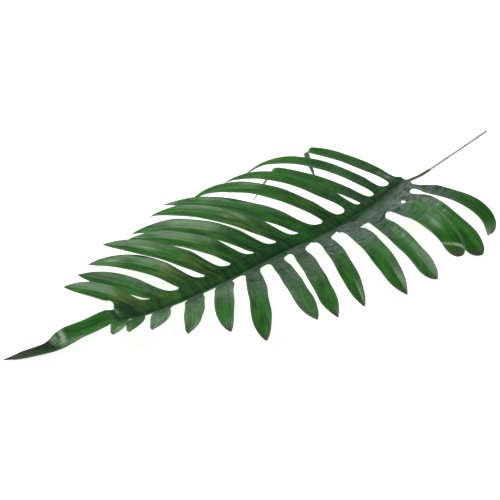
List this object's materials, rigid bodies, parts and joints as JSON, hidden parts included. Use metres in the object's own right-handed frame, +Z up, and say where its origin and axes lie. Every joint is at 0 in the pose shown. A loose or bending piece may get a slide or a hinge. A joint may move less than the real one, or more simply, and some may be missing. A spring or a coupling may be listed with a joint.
{
  "type": "feather palm leaf",
  "caption": "Long glossy green feather-shaped palm leaf: pointed side lobes joined by a web along an arching midrib, a long end lobe, and a thin grey stalk. Lies flat.",
  "frame": {"origin": "bottom centre of the leaf's box, on the surface that the leaf lies on", "axes": "+X along the leaf towards the stalk's free end, +Y towards the side with the longer lobes, +Z up"},
  "size_m": [0.8212, 0.406, 0.0728],
  "materials": {
    "leaf_green": "satin waxy leaf surface, deep green",
    "stalk_grey": "smooth grey, semi-matt"
  },
  "bodies": {
    "root": {"leaf": "leaf_green", "stalk": "stalk_grey"}
  },
  "joints": []
}
